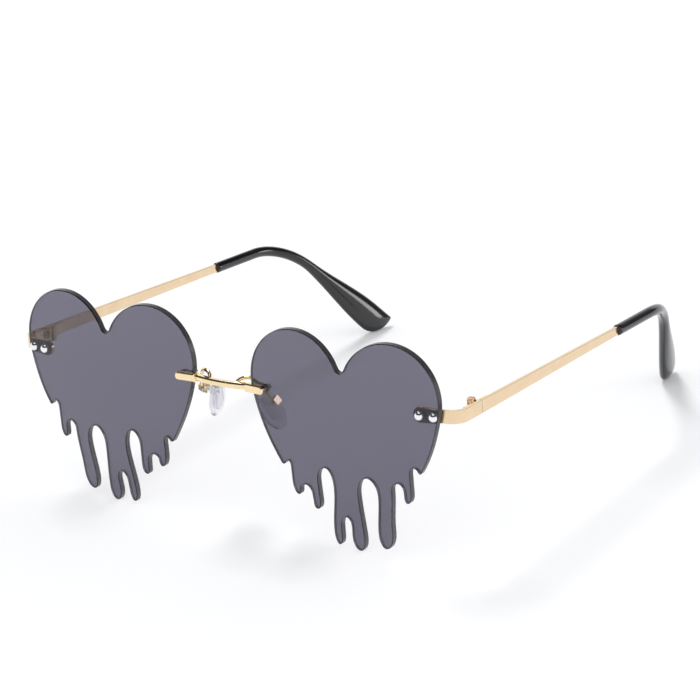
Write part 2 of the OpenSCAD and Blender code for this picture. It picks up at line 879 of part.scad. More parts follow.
stood() left_lens();
stood() mirrored() left_lens();  // right_lens
stood() bridge();
stood() bridge_washers();
stood() bridge_nuts();
stood() left_lens_bushings();
stood() mirrored() left_lens_bushings();  // right_lens_bushings
stood() left_end_piece();
stood() mirrored() left_end_piece();  // right_end_piece
stood() left_end_rivets();
stood() mirrored() left_end_rivets();  // right_end_rivets
stood() left_pad_arm();
stood() mirrored() left_pad_arm();  // right_pad_arm
stood() left_pad_box();
stood() mirrored() left_pad_box();  // right_pad_box
stood() left_pad_screw();
stood() mirrored() left_pad_screw();  // right_pad_screw
stood() left_pad_core();
stood() mirrored() left_pad_core();  // right_pad_core
stood() left_nose_pad();
stood() mirrored() left_nose_pad();  // right_nose_pad
stood() left_hinge_front();
stood() mirrored() left_hinge_front();  // right_hinge_front
stood() left_hinge_rear();
stood() mirrored() left_hinge_rear();  // right_hinge_rear
stood() left_hinge_screw();
stood() mirrored() left_hinge_screw();  // right_hinge_screw
stood() left_temple();
stood() mirrored() left_temple();  // right_temple
stood() left_temple_tip();
stood() mirrored() left_temple_tip();  // right_temple_tip
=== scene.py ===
import json
import math

import bmesh
import bpy
from mathutils import Matrix, Vector
from mathutils.geometry import delaunay_2d_cdt

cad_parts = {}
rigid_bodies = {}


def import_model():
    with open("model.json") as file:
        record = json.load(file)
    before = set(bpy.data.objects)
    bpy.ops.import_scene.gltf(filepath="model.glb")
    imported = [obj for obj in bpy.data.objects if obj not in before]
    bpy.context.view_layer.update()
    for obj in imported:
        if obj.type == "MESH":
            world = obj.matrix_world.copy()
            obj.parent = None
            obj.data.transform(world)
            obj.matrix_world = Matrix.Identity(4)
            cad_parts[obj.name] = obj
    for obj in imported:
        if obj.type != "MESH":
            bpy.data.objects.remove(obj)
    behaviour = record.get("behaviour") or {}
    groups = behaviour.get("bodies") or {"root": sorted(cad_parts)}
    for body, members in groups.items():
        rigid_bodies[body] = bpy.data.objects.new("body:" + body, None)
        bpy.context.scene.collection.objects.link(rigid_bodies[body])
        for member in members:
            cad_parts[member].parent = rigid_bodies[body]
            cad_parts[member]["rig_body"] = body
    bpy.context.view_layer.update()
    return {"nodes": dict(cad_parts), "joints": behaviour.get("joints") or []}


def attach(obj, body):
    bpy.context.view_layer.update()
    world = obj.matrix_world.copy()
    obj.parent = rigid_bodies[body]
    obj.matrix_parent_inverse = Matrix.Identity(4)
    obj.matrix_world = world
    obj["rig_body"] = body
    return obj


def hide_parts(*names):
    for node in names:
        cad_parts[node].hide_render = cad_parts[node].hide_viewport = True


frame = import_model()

# Millimetres to metres
MM = 0.001

# Lens sheet, in millimetres: the radius of its front, its thickness, the foremost point of the left
# lens, the facet along its edges, the spacing of the points inside its faces, and its number of holes
LENS_R = 300
LENS_T = 1.9
LENS_FRONT_Y = -75.0764
LENS_CROWN = Vector((33.52, LENS_FRONT_Y, 23.4))
LENS_FACET = 0.22
LENS_GRID = 2.0
LENS_HOLES = 4

# Hinge frame: how far the temples close towards each other, in degrees
TOE_IN = 2.3

# Temple tip, in millimetres and degrees, from the hinge back along the temple
BAR_L = 74.2
TIP_X = 2.3
TIP_L = 68.694
TIP_D = 3.1
TIP_STRAIGHT = 18
TIP_BEND_L = 24
TIP_DOWN = 48
TIP_IN = 18
TIP_IN_SHARE = 0.4
TIP_FLARE_SHARE = 0.45
TIP_END_L = 7.6
TIP_LIP = 0.35
PADDLE_W = 9.3
PADDLE_T = 3.8

# Nose pad, in millimetres and degrees
PAD_LEAN = 24
PAD_SPLAY = 20
PAD_IN = 3.7
PAD_HANG = 2.2
PAD_L = 14
PAD_W = 7.4
PAD_T = 2.8
PAD_TAPER_SHARE = 0.14
# The lower this power, the thicker the pad stays near its two ends
PAD_END_POWER = 0.35

# Pad arm, in millimetres: the wire's root, and its bends as shares of the way to the pad box,
# outwards, backwards and down from the middle of the bridge's front
ARM_D = 1.1
PAD_OUT = 12.1
PAD_BACK = 9.1
PAD_BELOW = 6
BRIDGE_AHEAD = 0.300842
BRIDGE_FRONT = Vector((0, LENS_FRONT_Y - BRIDGE_AHEAD, 41.9))
ARM_ROOT = Vector((4.5, 2.0, 0.3))
ARM_SHARES = (
    (0.42, 0.33, -0.17), (0.52, 0.41, -0.26), (0.64, 0.48, -0.27), (0.76, 0.58, -0.16),
    (0.88, 0.70, 0.12), (0.95, 0.80, 0.42), (1.01, 0.90, 0.70), (1.03, 0.97, 0.86),
)
# How far the bridge and the pad arms lean with the lens surface, in degrees
LENS_DROP = 3.51635

# Bridge, in millimetres: half the bar's length, the chamfer round the front of its plates, and the
# radius on its other edges
BAR_HALF = 9.6
PLATE_CHAMFER = 0.34
BRIDGE_ROUND = 0.12

# Flat chamfers of the brushed strips, and the radius on the small parts' edges, in millimetres
END_PIECE_CHAMFER = 0.15
TEMPLE_CHAMFER = 0.2
SMALL_ROUND = 0.08

# Surface noise of each kind, in waves per metre
CLOUD_WAVES = 260
POLISH_WAVES = 2600
CUTTER_WAVES = 900
SKIN_WAVES = 700
MOULD_WAVES = 150
# Noise at or below the first value is all the first tone, and at or above the second all the second
FIRST_TONE = 0.3
SECOND_TONE = 0.7

# Colour of the lens faces by height, lighter towards the top, from the floor at 0 to this height in
# millimetres at 1
FACE_GRADIENT_HEIGHT = 60
FACE_GRADIENT_BY_HEIGHT = (
    (0.0, (0.132, 0.124, 0.168)), (0.6, (0.138, 0.130, 0.176)), (1.0, (0.150, 0.142, 0.188)),
)

# Floor, in metres: half its width, and its drop below the object's lowest points
FLOOR_HALF = 12.0
FLOOR_DROP = 0.00002
FLOOR_COLOUR = (0.86, 0.86, 0.87)
# What the floor adds for the camera, for reflections and through the lenses, so that it shows white
FLOOR_GLOW = 0.16

# Surroundings that light the object, and what metal mirrors: white low down, dark above it, a pale
# patch straight overhead, and a dark flag behind the object on the wearer's left
ROOM_COLOUR = (0.97, 0.98, 1)
ROOM_LEVEL = 0.62
MIRRORED_BY_HEIGHT = (
    (0.0, (1, 1, 1)), (0.44, (1, 1, 1)), (0.50, (0.05, 0.05, 0.06)), (0.90, (0.07, 0.07, 0.08)),
    (0.96, (0.9, 0.9, 0.9)),
)
FLAG_WAY = Vector((0.57, 0.75, 0.34))
FLAG_EDGE = ((0.0, (1, 1, 1)), (0.84, (1, 1, 1)), (0.92, (0.12, 0.12, 0.13)))

# Camera, in millimetres and degrees
CAMERA_PLACE = Vector((514.87, -695.49, 343.50))
CAMERA_AZIMUTH = 37.13
CAMERA_ELEVATION = 20.14
CAMERA_ROLL = -5.03
CAMERA_SENSOR = 36
CAMERA_LENS = 164.47


# Materials

def shader(name, **inputs):
    """A material with a Principled shader, its nodes, its links and the shader's node."""
    material = bpy.data.materials.new(name)
    material.use_nodes = True
    nodes = material.node_tree.nodes
    principled = nodes["Principled BSDF"]
    for key, value in inputs.items():
        principled.inputs[key.replace("_", " ")].default_value = value
    return material, nodes, material.node_tree.links, principled


def noise(nodes, links, scale, detail, stretch=(1, 1, 1)):
    """Noise in the object's own space. The scale is in waves per metre."""
    place = nodes.new("ShaderNodeTexCoord")
    mapping = nodes.new("ShaderNodeMapping")
    mapping.inputs["Scale"].default_value = stretch
    texture = nodes.new("ShaderNodeTexNoise")
    texture.inputs["Scale"].default_value = scale
    texture.inputs["Detail"].default_value = detail
    links.new(place.outputs["Object"], mapping.inputs["Vector"])
    links.new(mapping.outputs["Vector"], texture.inputs["Vector"])
    return texture


def ramp(nodes, links, source, stops):
    """Turn a value into colours: stops are (position, colour) pairs."""
    band = nodes.new("ShaderNodeValToRGB")
    while len(band.color_ramp.elements) < len(stops):
        band.color_ramp.elements.new(0.5)
    for element, (position, colour) in zip(band.color_ramp.elements, stops):
        element.position = position
        element.color = (*colour, 1)
    links.new(source, band.inputs["Fac"])
    return band


def two_tone(nodes, links, source, first, second):
    """Two tones of one colour that noise mixes."""
    return ramp(nodes, links, source, ((FIRST_TONE, first), (SECOND_TONE, second)))


def spread(nodes, links, source, low, high):
    """Map a value from 0..1 to low..high."""
    mapped = nodes.new("ShaderNodeMapRange")
    mapped.inputs["To Min"].default_value = low
    mapped.inputs["To Max"].default_value = high
    links.new(source, mapped.inputs["Value"])
    return mapped


def bumped(nodes, links, principled, source, strength, distance):
    """Raise the surface by a value, as far as a distance in millimetres."""
    bump = nodes.new("ShaderNodeBump")
    bump.inputs["Strength"].default_value = strength
    bump.inputs["Distance"].default_value = distance * MM
    links.new(source, bump.inputs["Height"])
    links.new(bump.outputs["Normal"], principled.inputs["Normal"])


def metal(name, pale, deep, smooth, rough, stretch=(1, 1, 1), bump=0.06):
    """Polished metal: cloudy plating colour, a roughness that drifts, and faint polishing lines."""
    material, nodes, links, principled = shader(name, Metallic=1.0)
    cloud = noise(nodes, links, CLOUD_WAVES, 4)
    colour = two_tone(nodes, links, cloud.outputs["Fac"], deep, pale)
    links.new(colour.outputs["Color"], principled.inputs["Base Color"])
    lines = noise(nodes, links, POLISH_WAVES, 3, stretch)
    worn = spread(nodes, links, lines.outputs["Fac"], smooth, rough)
    links.new(worn.outputs["Result"], principled.inputs["Roughness"])
    bumped(nodes, links, principled, lines.outputs["Fac"], bump, distance=0.02)
    return material


def lens_face_material():
    """Tinted polycarbonate sheet, a little lighter towards the top of the lens."""
    material, nodes, links, principled = shader(
        "lens_tint_face", Roughness=0.02, IOR=1.5, Transmission_Weight=1.0)
    place = nodes.new("ShaderNodeTexCoord")
    split = nodes.new("ShaderNodeSeparateXYZ")
    links.new(place.outputs["Object"], split.inputs["Vector"])
    height = nodes.new("ShaderNodeMapRange")
    height.inputs["From Max"].default_value = FACE_GRADIENT_HEIGHT * MM
    links.new(split.outputs["Z"], height.inputs["Value"])
    tint = ramp(nodes, links, height.outputs["Result"], FACE_GRADIENT_BY_HEIGHT)
    links.new(tint.outputs["Color"], principled.inputs["Base Color"])
    return material


def lens_edge_material(name, deep, pale, transmission, smooth, rough):
    """A cut edge of the sheet: darker than its face, with the fine marks that the cutter drags."""
    material, nodes, links, principled = shader(name, IOR=1.5, Transmission_Weight=transmission)
    drag = noise(nodes, links, CUTTER_WAVES, 3, (1, 6, 1))
    tone = two_tone(nodes, links, drag.outputs["Fac"], deep, pale)
    links.new(tone.outputs["Color"], principled.inputs["Base Color"])
    polish = spread(nodes, links, drag.outputs["Fac"], smooth, rough)
    links.new(polish.outputs["Result"], principled.inputs["Roughness"])
    return material


def clear_material(name, colour, roughness, ior, transmission):
    """Clear moulded plastic or silicone, with a faint orange-peel skin."""
    material, nodes, links, principled = shader(name, IOR=ior, Transmission_Weight=transmission)
    skin = noise(nodes, links, SKIN_WAVES, 2)
    dimmer = tuple(0.96 * c for c in colour)
    rougher = 1.6 * roughness
    tone = two_tone(nodes, links, skin.outputs["Fac"], dimmer, colour)
    links.new(tone.outputs["Color"], principled.inputs["Base Color"])
    haze = spread(nodes, links, skin.outputs["Fac"], roughness, rougher)
    links.new(haze.outputs["Result"], principled.inputs["Roughness"])
    bumped(nodes, links, principled, skin.outputs["Fac"], strength=0.1, distance=0.05)
    return material


def tip_material():
    """Glossy black moulded plastic, with a clear skin and very slight waves from the mould."""
    material, nodes, links, principled = shader("black_acetate_gloss", Coat_Weight=0.3, Coat_Roughness=0.05)
    cloud = noise(nodes, links, MOULD_WAVES, 3)
    tone = two_tone(nodes, links, cloud.outputs["Fac"], (0.0075, 0.0075, 0.0085), (0.012, 0.012, 0.013))
    links.new(tone.outputs["Color"], principled.inputs["Base Color"])
    polish = spread(nodes, links, cloud.outputs["Fac"], 0.13, 0.2)
    links.new(polish.outputs["Result"], principled.inputs["Roughness"])
    bumped(nodes, links, principled, cloud.outputs["Fac"], strength=0.12, distance=0.15)
    return material


gold = metal("gold_polished", pale=(0.96, 0.77, 0.49), deep=(0.91, 0.71, 0.42), smooth=0.05, rough=0.11)
gold_brushed = metal("gold_brushed", pale=(0.86, 0.67, 0.45), deep=(0.82, 0.62, 0.40),
                     smooth=0.12, rough=0.22, stretch=(1, 0.05, 1), bump=0.1)
chrome = metal("silver_domes", pale=(0.92, 0.92, 0.94), deep=(0.86, 0.86, 0.89), smooth=0.03, rough=0.08)
steel = metal("turned_steel", pale=(0.84, 0.83, 0.82), deep=(0.72, 0.71, 0.70),
              smooth=0.14, rough=0.28, bump=0.15)
rose = metal("hinge_screw_gilt", pale=(0.86, 0.62, 0.47), deep=(0.76, 0.52, 0.38),
             smooth=0.14, rough=0.3, bump=0.15)
lens_face = lens_face_material()
lens_edge = lens_edge_material("lens_tint_edge", deep=(0.082, 0.081, 0.088), pale=(0.096, 0.095, 0.103),
                               transmission=0.5, smooth=0.24, rough=0.32)
lens_facet = lens_edge_material("lens_tint_facet", deep=(0.010, 0.010, 0.012), pale=(0.020, 0.020, 0.024),
                                transmission=0.7, smooth=0.08, rough=0.16)
silicone = clear_material("clear_silicone", (0.96, 0.955, 0.985),
                          roughness=0.07, ior=1.25, transmission=0.86)
core_plastic = clear_material("pad_core_clear", (0.96, 0.96, 0.99),
                              roughness=0.14, ior=1.10, transmission=0.82)
bushing = clear_material("bushing_clear", (0.80, 0.80, 0.82),
                         roughness=0.2, ior=1.46, transmission=0.7)
black = tip_material()


# Pieces

def mm_copy(node, doubled=0.001):
    """A CAD node's mesh in millimetres, with its doubled corners joined."""
    bm = bmesh.new()
    bm.from_mesh(frame["nodes"][node].data)
    bmesh.ops.scale(bm, vec=(1 / MM, 1 / MM, 1 / MM), verts=bm.verts)
    bmesh.ops.remove_doubles(bm, verts=bm.verts, dist=doubled)
    return bm


def metre_mesh(bm, name, sharp_angle):
    """Close a millimetre mesh into a Blender mesh in metres, smooth but for its sharp edges."""
    bmesh.ops.recalc_face_normals(bm, faces=bm.faces)
    for face in bm.faces:
        face.smooth = True
    for edge in bm.edges:
        edge.smooth = len(edge.link_faces) != 2 or edge.calc_face_angle() < math.radians(sharp_angle)
    bmesh.ops.scale(bm, vec=(MM, MM, MM), verts=bm.verts)
    mesh = bpy.data.meshes.new(name)
    bm.to_mesh(mesh)
    bm.free()
    return mesh


def mirrored(mesh, name):
    """The same mesh for the other side of the object."""
    bm = bmesh.new()
    bm.from_mesh(mesh)
    bmesh.ops.scale(bm, vec=(-1, 1, 1), verts=bm.verts)
    bmesh.ops.reverse_faces(bm, faces=bm.faces)
    other = bpy.data.meshes.new(name)
    bm.to_mesh(other)
    bm.free()
    return other


def stand_for(node, mesh, materials, weighted=True):
    """Put a mesh in place of a CAD node, on the node's own body."""
    piece = bpy.data.objects.new(f"{node}_look", mesh)
    bpy.context.scene.collection.objects.link(piece)
    for material in materials:
        mesh.materials.append(material)
    if weighted:
        normals = piece.modifiers.new("even_shading", "WEIGHTED_NORMAL")
        normals.keep_sharp = True
        normals.weight = 80
    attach(piece, frame["nodes"][node]["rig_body"])
    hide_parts(node)


def pair_of(part, mesh, materials, weighted=True):
    """The left piece, and its mirror image on the right."""
    other = mirrored(mesh, f"right_{part}")
    stand_for(f"left_{part}", mesh, materials, weighted)
    stand_for(f"right_{part}", other, materials, weighted)


def plate_fronts(face, forward=0.95):
    """Whether a face is the front of one of the bridge's two plates."""
    return face.normal.y < -forward and abs(face.calc_center_median().x) > BAR_HALF


def bevelled(bm, edges, width, segments):
    """Cut edges back by a width, flat with one segment and rounded with more."""
    bmesh.ops.bevel(bm, geom=edges, offset=width, offset_type="OFFSET", segments=segments,
                    profile=0.5, affect="EDGES", clamp_overlap=True)


def softened(node, width, shortest=0.0, segments=3, sharp_angle=50, chamfered=None,
             least_angle=40, flat_angle=0.4):
    """A CAD node with its sharp edges rounded by a small radius, as polishing leaves them.

    One segment and a sharp angle under 45 give flat chamfers instead. The sharp edges of the
    faces that chamfered picks get a wider flat chamfer first. Faces that lie within the flat
    angle of each other are joined before that."""
    bm = mm_copy(node)
    bmesh.ops.dissolve_limit(bm, angle_limit=math.radians(flat_angle), verts=bm.verts, edges=bm.edges)
    least = math.radians(least_angle)
    if chamfered:
        bm.normal_update()
        edges = {e for face in bm.faces if chamfered(face)
                 for e in face.edges if e.calc_face_angle() > least}
        bevelled(bm, list(edges), PLATE_CHAMFER, 1)
    sharp = [e for e in bm.edges if len(e.link_faces) == 2
             and e.calc_face_angle() > least and e.calc_length() > shortest]
    bevelled(bm, sharp, width, segments)
    return metre_mesh(bm, f"{node}_soft", sharp_angle)


def on_lens(x, z, depth):
    """The point at a place on the lens, at a depth below its front face."""
    r = LENS_R - depth
    reach = math.sqrt(r * r - (x - LENS_CROWN.x) ** 2 - (z - LENS_CROWN.z) ** 2)
    return Vector((x, LENS_CROWN.y + LENS_R - reach, z))


def front_rings(bm, on_front=0.004):
    """The closed rings of edges round the lens's front face, as lists of (x, z), longest first.

    A point is on the front where it is within on_front of the front's sphere."""
    centre = LENS_CROWN + Vector((0, LENS_R, 0))
    front = {v for v in bm.verts if abs((v.co - centre).length - LENS_R) < on_front}
    beside = {}
    for edge in bm.edges:
        if sum(all(v in front for v in face.verts) for face in edge.link_faces) == 1:
            for a, b in (edge.verts, reversed(edge.verts)):
                beside.setdefault(a, []).append(b)
    rings = []
    while beside:
        start = at = next(iter(beside))
        ring = []
        while at is not None:
            ring.append((at.co.x, at.co.z))
            nexts = beside.pop(at)
            at = next((v for v in nexts if v in beside), None)
        rings.append(ring)
    return sorted(rings, key=len, reverse=True)


def turns(ring):
    """How sharply a ring turns at each of its points, in degrees."""
    found = []
    for k, here in enumerate(ring):
        a = Vector(here) - Vector(ring[k - 1])
        b = Vector(ring[(k + 1) % len(ring)]) - Vector(here)
        found.append(math.degrees(a.angle(b)))
    return found


def own_points(ring, least_turn=0.2):
    """A ring without the points that lie on its straight stretches."""
    return [p for p, turn in zip(ring, turns(ring)) if turn > least_turn]


def finer(ring, corner=33):
    """Add a point, bowed out as the ring runs, on each stretch that isn't beside a corner.

    Between two headings an arc rises by an eighth of its chord times their difference."""
    n = len(ring)
    turn = turns(ring)
    points = [Vector(p) for p in ring]
    ways = [(points[(k + 1) % n] - points[k]).normalized() for k in range(n)]
    heads = [(ways[k - 1] + ways[k]).normalized() for k in range(n)]
    out = []
    for k in range(n):
        j = (k + 1) % n
        out.append(ring[k])
        if max(turn[k], turn[j]) < corner:
            bow = (heads[k] - heads[j]) * (points[j] - points[k]).length / 8
            out.append(tuple((points[k] + points[j]) / 2 + bow))
    return out


def area(ring):
    """The area inside a ring, above zero where it turns anticlockwise."""
    return sum(a[0] * b[1] - b[0] * a[1] for a, b in zip(ring, ring[1:] + ring[:1])) / 2


def inset(ring, width, sharpest=0.5):
    """The ring at a width inside one that turns anticlockwise. A very sharp corner is cut short."""
    out = []
    for k, here in enumerate(ring):
        a = (Vector(here) - Vector(ring[k - 1])).normalized()
        b = (Vector(ring[(k + 1) % len(ring)]) - Vector(here)).normalized()
        left = Vector((-a.y - b.y, a.x + b.x))
        out.append(tuple(Vector(here) + left * width / max(sharpest, 1 + a.dot(b))))
    return out


def inside(point, ring):
    """Whether a point lies inside a ring."""
    odd = False
    for a, b in zip(ring, ring[1:] + ring[:1]):
        if (a[1] > point[1]) != (b[1] > point[1]):
            if point[0] < a[0] + (point[1] - a[1]) * (b[0] - a[0]) / (b[1] - a[1]):
                odd = not odd
    return odd


def face_triangles(edge_ring, holes, joined=0.0001):
    """Points and triangles that fill a ring but for its holes, with a grid of points between."""
    inside_only = 1
    rings = [edge_ring] + holes
    fixed = [p for ring in rings for p in ring]
    grid = []
    low_x = min(p[0] for p in edge_ring)
    low_z = min(p[1] for p in edge_ring)
    across = int((max(p[0] for p in edge_ring) - low_x) / LENS_GRID)
    up = int((max(p[1] for p in edge_ring) - low_z) / LENS_GRID)
    for i in range(1, across + 1):
        for j in range(1, up + 1):
            q = (low_x + i * LENS_GRID, low_z + j * LENS_GRID)
            near = min((q[0] - p[0]) ** 2 + (q[1] - p[1]) ** 2 for p in fixed)
            if near > (LENS_GRID / 2) ** 2 and inside(q, edge_ring):
                grid.append(q)
    edges = []
    start = 0
    for ring in rings:
        n = len(ring)
        edges += [(start + k, start + (k + 1) % n) for k in range(n)]
        start += n
    points = [Vector(p) for p in fixed + grid]
    verts, _, faces, origin, _, _ = delaunay_2d_cdt(points, edges, [], inside_only, joined)
    back = [o[0] for o in origin]
    kept = []
    for face in faces:
        middle = sum((verts[k] for k in face), Vector((0, 0))) / 3
        if not any(inside(middle, hole) for hole in holes):
            kept.append([back[k] for k in face])
    return [tuple(p) for p in points], kept


def lens_mesh():
    """The lens rebuilt on its own outline: two curved faces, a wall, and a facet along each edge.

    The faces have its first material, the wall and the holes its second, and the facets its third."""
    wall_slot = 1
    facet_slot = 2
    source = mm_copy("left_lens")
    rings = front_rings(source)
    source.free()
    rings = [ring if area(ring) > 0 else ring[::-1] for ring in rings]
    outline = finer(own_points(rings[0]))
    holes = rings[1:LENS_HOLES + 1]
    face_edge = inset(outline, LENS_FACET)
    places, triangles = face_triangles(face_edge, holes)
    bm = bmesh.new()
    skins = [[bm.verts.new(on_lens(x, z, depth)) for x, z in places] for depth in (0, LENS_T)]
    walls = [[bm.verts.new(on_lens(x, z, depth)) for x, z in outline]
             for depth in (LENS_FACET, LENS_T - LENS_FACET)]
    for skin in skins:
        for triangle in triangles:
            bm.faces.new([skin[k] for k in triangle])
    n = len(outline)
    bands = [
        (skins[0][:n], walls[0], facet_slot),
        (walls[0], walls[1], wall_slot),
        (walls[1], skins[1][:n], facet_slot),
    ]
    start = n
    tunnels = []
    for hole in holes:
        end = start + len(hole)
        tunnels.append((skins[0][start:end], skins[1][start:end], wall_slot))
        start = end
    for near, far, slot in bands + tunnels:
        for k in range(len(near)):
            j = (k + 1) % len(near)
            face = bm.faces.new((near[k], near[j], far[j], far[k]))
            face.material_index = slot
    return metre_mesh(bm, "left_lens_sheet", 30)


def ring_skin(rings, name, sharp_angle=60):
    """A closed mesh in metres through rings of points that all have the same number of points."""
    bm = bmesh.new()
    made = [[bm.verts.new(p) for p in ring] for ring in rings]
    n = len(rings[0])
    for near, far in zip(made, made[1:]):
        for k in range(n):
            bm.faces.new((near[k], near[(k + 1) % n], far[(k + 1) % n], far[k]))
    bm.faces.new(made[0][::-1])
    bm.faces.new(made[-1])
    return metre_mesh(bm, name, sharp_angle)


def sideways(head):
    """The direction across a heading that is nearest to the frame's left."""
    return (Vector((1, 0, 0)) - head.x * head).normalized()


def tube_ring(place, head, thick, wide, sides):
    """One ring about a place: thick is its size sideways, wide its size up and down."""
    side = sideways(head)
    up = side.cross(head)
    angles = [2 * math.pi * k / sides for k in range(sides)]
    return [place + side * math.cos(a) * thick / 2 - up * math.sin(a) * wide / 2 for a in angles]


def clamped(s, start, length):
    """How far a stretch has run at s, from 0 to 1."""
    return max(0.0, min(1.0, (s - start) / length))


def tip_heading(s):
    """Where the tip heads at a length from its mouth: back, then down and in round its bend."""
    down = math.radians(TIP_DOWN) * clamped(s, TIP_STRAIGHT, TIP_BEND_L)
    turn_in = math.radians(TIP_IN) * clamped(s, TIP_STRAIGHT, TIP_BEND_L * TIP_IN_SHARE)
    return Vector((-math.sin(turn_in), math.cos(turn_in) * math.cos(down),
                   -math.cos(turn_in) * math.sin(down)))


def flare(share):
    """How far the bar has widened to the paddle, from 0 to 1, at a share of the tip's length."""
    s = max(0.0, (share - 1 + TIP_FLARE_SHARE) / TIP_FLARE_SHARE)
    return s * s * (3 - 2 * s)


def hinge_frame():
    """Where the left hinge is, and its directions: z along its axis, y back along the temple."""
    joint = next(j for j in frame["joints"] if j["name"] == "left_temple_fold")
    axis = Vector(joint["axis"])
    lean = Matrix.Rotation(-math.atan2(axis.y, axis.z), 4, "X")
    toe_in = Matrix.Rotation(math.radians(TOE_IN), 4, "Z")
    return Matrix.Translation(Vector(joint["pos_m"]) / MM) @ lean @ toe_in


def tip_mesh():
    """The black temple tip: a lip at its mouth, a round bar, a bend and a flat rounded paddle."""
    sides = 32
    steps = 90
    lip_steps = 5
    end_steps = 14
    # The last ring stays short of the paddle's end by this share of a step
    short_share = 0.3
    step = TIP_L / steps
    mouth = Vector((TIP_X, BAR_L, 0))
    straight = tip_heading(0)
    rings = []
    for k in range(lip_steps):
        a = math.pi / 2 * k / lip_steps
        middle = mouth + straight * TIP_LIP * (1 - math.cos(a))
        across = TIP_D - 2 * TIP_LIP * (1 - math.sin(a))
        rings.append(tube_ring(middle, straight, across, across, sides))
    place = mouth
    for k in range(steps + 1):
        share = k / steps
        if k * step >= TIP_LIP:
            thick = TIP_D + (PADDLE_T - TIP_D) * flare(share)
            wide = TIP_D + (PADDLE_W - TIP_D) * flare(share)
            rings.append(tube_ring(place, tip_heading(k * step), thick, wide, sides))
        if k < steps:
            place = place + tip_heading((k + 0.5) * step) * step
    head = tip_heading(TIP_L)
    up = sideways(head).cross(head)
    for k in range(1, end_steps + 1):
        a = math.pi / 2 * k / (end_steps + short_share)
        middle = place + head * TIP_END_L * math.sin(a) + up * PADDLE_W / 2 * (1 - math.cos(a))
        rings.append(tube_ring(middle, head, PADDLE_T * math.cos(a), PADDLE_W * math.cos(a), sides))
    frame_at = hinge_frame()
    return ring_skin([[frame_at @ p for p in ring] for ring in rings], "left_temple_tip_gloss")


def pad_frame():
    """Where the left pad screw is, and its directions: y along the screw, z up the pad."""
    joint = next(j for j in frame["joints"] if j["name"] == "left_pad_rock")
    lean = Matrix.Rotation(math.radians(PAD_LEAN), 4, "X")
    splay = Matrix.Rotation(math.radians(-PAD_SPLAY), 4, "Y")
    return Matrix.Translation(Vector(joint["pos_m"]) / MM) @ lean @ splay


def pad_mesh():
    """The clear teardrop pad, as one closed skin."""
    steps = 36
    sides = 40
    # The first and last rings stay short of the pad's two ends by this share of a step
    short_share = 0.35
    angles = [2 * math.pi * j / sides for j in range(sides)]
    frame_at = pad_frame()
    rings = []
    for k in range(steps + 1):
        u = -math.cos(math.pi * (k + short_share) / (steps + 2 * short_share))
        half_w = PAD_W / 2 * math.sqrt(1 - u * u) * (1 - PAD_TAPER_SHARE * u)
        half_t = PAD_T / 2 * (1 - u * u) ** PAD_END_POWER
        height = u * PAD_L / 2 - PAD_HANG
        ring = [Vector((half_t * math.cos(a) - PAD_IN, half_w * math.sin(a), height)) for a in angles]
        rings.append([frame_at @ p for p in ring])
    return ring_skin(rings, "left_nose_pad_clear")


def smooth_line(places, steps):
    """A smooth curve through places, with a number of steps between each two."""
    out = []
    last = len(places) - 1
    for k in range(last):
        a, b, c, d = (places[max(0, min(last, k + j))] for j in (-1, 0, 1, 2))
        for t in (j / steps for j in range(steps)):
            out.append(b + t * (c - a) / 2 + t * t * (2 * a - 5 * b + 4 * c - d) / 2
                       + t ** 3 * (3 * b - a - 3 * c + d) / 2)
    return out + [places[last]]


def arm_mesh():
    """The looped wire of the pad arm, from the back of the bridge to the pad box."""
    sides = 18
    steps_between = 7
    places = [ARM_ROOT] + [Vector((a * PAD_OUT, b * PAD_BACK, -c * PAD_BELOW)) for a, b, c in ARM_SHARES]
    line = smooth_line(places, steps_between)
    at = Matrix.Translation(BRIDGE_FRONT) @ Matrix.Rotation(math.radians(-LENS_DROP), 4, "X")
    rings = []
    for k, place in enumerate(line):
        head = (line[min(k + 1, len(line) - 1)] - line[max(k - 1, 0)]).normalized()
        if k == 0:
            head = Vector((0, 1, 0))
        rings.append([at @ p for p in tube_ring(place, head, ARM_D, ARM_D, sides)])
    return ring_skin(rings, "left_pad_arm_wire")


def keep(nodes, material):
    """CAD nodes whose shape is right as it is get a finished material."""
    for name in nodes:
        node = frame["nodes"][name]
        node.data.materials.clear()
        node.data.materials.append(material)
        for polygon in node.data.polygons:
            polygon.material_index = 0


pair_of("lens", lens_mesh(), (lens_face, lens_edge, lens_facet), weighted=False)
for side in ("left", "right"):
    # Light reaches the floor through the tinted sheets
    bpy.data.objects[f"{side}_lens_look"].visible_shadow = False
pair_of("temple_tip", tip_mesh(), (black,), weighted=False)
pair_of("nose_pad", pad_mesh(), (silicone,), weighted=False)
pair_of("pad_arm", arm_mesh(), (gold,), weighted=False)
end_piece = softened("left_end_piece", END_PIECE_CHAMFER, segments=1, sharp_angle=30)
pair_of("end_piece", end_piece, (gold_brushed,))
temple = softened("left_temple", TEMPLE_CHAMFER, shortest=0.6, segments=1, sharp_angle=30)
pair_of("temple", temple, (gold_brushed,))
for part in ("hinge_front", "hinge_rear", "pad_box"):
    pair_of(part, softened(f"left_{part}", SMALL_ROUND), (gold,))
stand_for("bridge", softened("bridge", BRIDGE_ROUND, chamfered=plate_fronts), (gold,))
keep(("left_end_rivets", "right_end_rivets"), chrome)
keep(("left_hinge_screw", "right_hinge_screw"), rose)
keep(("left_pad_screw", "right_pad_screw", "bridge_nuts"), steel)
keep(("left_pad_core", "right_pad_core"), core_plastic)
keep(("bridge_washers", "left_lens_bushings", "right_lens_bushings"), bushing)


# Studio

